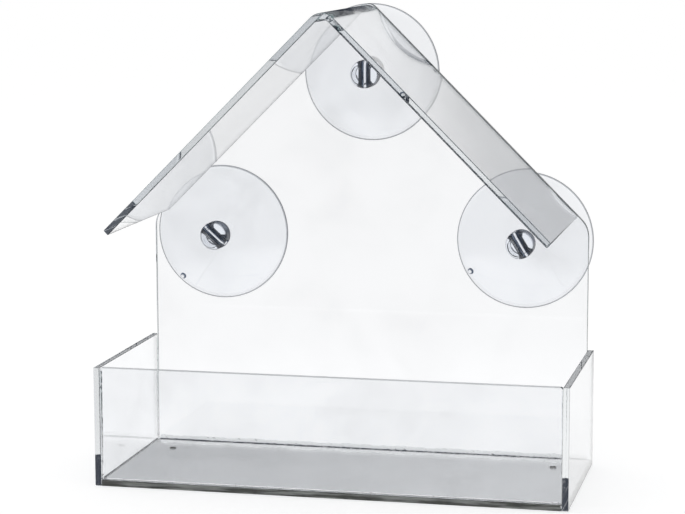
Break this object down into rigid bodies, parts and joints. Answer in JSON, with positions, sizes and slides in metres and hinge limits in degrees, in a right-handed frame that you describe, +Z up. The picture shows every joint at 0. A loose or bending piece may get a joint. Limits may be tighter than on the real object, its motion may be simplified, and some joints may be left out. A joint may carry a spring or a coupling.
{
  "type": "window bird feeder",
  "caption": "Clear house-shaped window bird feeder: welded seed tray, gabled back panel, bent roof and swivelling suction cups.",
  "frame": {"origin": "centre of the bottom of the whole feeder, cups included, on the surface it stands on", "axes": "+X to the right of someone who faces the tray, +Y towards the window, +Z up"},
  "size_m": [0.15, 0.0725, 0.1498],
  "materials": {
    "acrylic": "clear polished sheet",
    "soft_pvc": "clear soft moulding"
  },
  "bodies": {
    "feeder": {"back_panel": "acrylic", "roof": "acrylic", "floor_panel": "acrylic", "front_panel": "acrylic", "left_side_panel": "acrylic", "right_side_panel": "acrylic"},
    "cup_top": {"suction_cup_top": "soft_pvc"},
    "cup_left": {"suction_cup_left": "soft_pvc"},
    "cup_right": {"suction_cup_right": "soft_pvc"}
  },
  "joints": [
    {"name": "cup_top_swivel", "type": "hinge", "parent": "feeder", "child": "cup_top", "pos_m": [0, 0.02875, 0.1272], "axis": [0, 1, 0], "continuous": true},
    {"name": "cup_left_swivel", "type": "hinge", "parent": "feeder", "child": "cup_left", "pos_m": [-0.0513, 0.02875, 0.0728], "axis": [0, 1, 0], "continuous": true},
    {"name": "cup_right_swivel", "type": "hinge", "parent": "feeder", "child": "cup_right", "pos_m": [0.0513, 0.02875, 0.0728], "axis": [0, 1, 0], "continuous": true}
  ]
}
